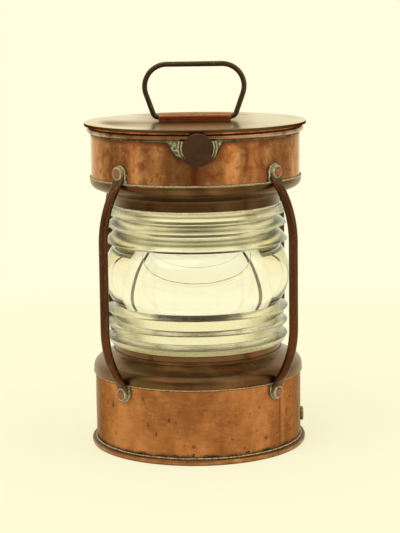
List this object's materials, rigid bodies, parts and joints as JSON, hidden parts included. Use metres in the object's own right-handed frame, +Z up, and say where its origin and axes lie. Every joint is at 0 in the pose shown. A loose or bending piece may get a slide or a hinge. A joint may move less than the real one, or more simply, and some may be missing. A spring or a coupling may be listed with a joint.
{
  "type": "anchor light",
  "caption": "Copper ship's anchor light with a ribbed all-round glass lens between two drums, bowed guard rods, a hinged lid with a pull catch and a wire bail.",
  "frame": {"origin": "centre of the base plate's underside, which the light stands on", "axes": "+Z up along the axis of the drums and the lens; -Y to the front, where the catch is; +X to the right, where the cable gland is"},
  "size_m": [0.2014, 0.2225, 0.3495],
  "materials": {
    "copper": "old polished copper sheet, warm and lightly stained",
    "copper_bead": "rolled copper bead, worn bright on top",
    "patina": "dark brown copper patina",
    "rod": "dark brown copper rod",
    "rivet": "copper rivet with pale verdigris round it",
    "lid_copper": "smooth old copper with a soft shine",
    "keeper": "rolled copper sheet, dark brown",
    "bail": "dark brown wire",
    "knob": "matt dark brown",
    "brass": "dull brass",
    "steel": "plain",
    "lens_glass": "pressed glass, faintly yellow green",
    "gasket": "old compressed packing",
    "porcelain": null
  },
  "bodies": {
    "lantern": {"base_plate": "copper", "base_wall": "copper", "foot_ring": "copper_bead", "base_shoulder": "patina", "top_wall": "copper", "top_rim_ring": "copper_bead", "top_shoulder": "patina", "lower_lens_collar": "patina", "upper_lens_collar": "patina", "lower_lens_gasket": "gasket", "upper_lens_gasket": "gasket", "lens": "lens_glass", "guard_rod_front_right": "rod", "guard_rod_rear_right": "rod", "guard_rod_rear_left": "rod", "guard_rod_front_left": "rod", "rivet_lower_front_right": "rivet", "rivet_upper_front_right": "rivet", "rivet_lower_rear_right": "rivet", "rivet_upper_rear_right": "rivet", "rivet_lower_rear_left": "rivet", "rivet_upper_rear_left": "rivet", "rivet_lower_front_left": "rivet", "rivet_upper_front_left": "rivet", "catch_flange": "patina", "catch_barrel": "patina", "catch_spring": "steel", "hinge_wall_leaf": "patina", "hinge_pin": "brass", "hinge_rivet_left": "rivet", "hinge_rivet_right": "rivet", "cable_gland": "brass", "cable_gland_nut": "brass", "lamp_pillar": "brass", "lampholder_shell": "brass", "lampholder_insulator": "porcelain"},
    "lid": {"lid": "lid_copper", "lid_tongue": "brass", "bail_keeper": "keeper", "hinge_lid_leaf": "patina"},
    "bail": {"bail": "bail"},
    "catch": {"catch_bolt": "steel", "catch_knob": "knob"}
  },
  "joints": [
    {"name": "lid_hinge", "type": "hinge", "parent": "lantern", "child": "lid", "pos_m": [0, 0.1046, 0.29258], "axis": [-1, 0, 0], "range_deg": [0, 110]},
    {"name": "bail_swing", "type": "hinge", "parent": "lid", "child": "bail", "pos_m": [0, 0, 0.29963], "axis": [1, 0, 0], "range_deg": [-90, 90]},
    {"name": "catch_pull", "type": "slide", "parent": "lantern", "child": "catch", "axis": [0, -1, 0], "range_m": [0, 0.005], "stiffness_N_per_m": 700, "springref_m": -0.003, "deforming": ["catch_spring"]}
  ]
}
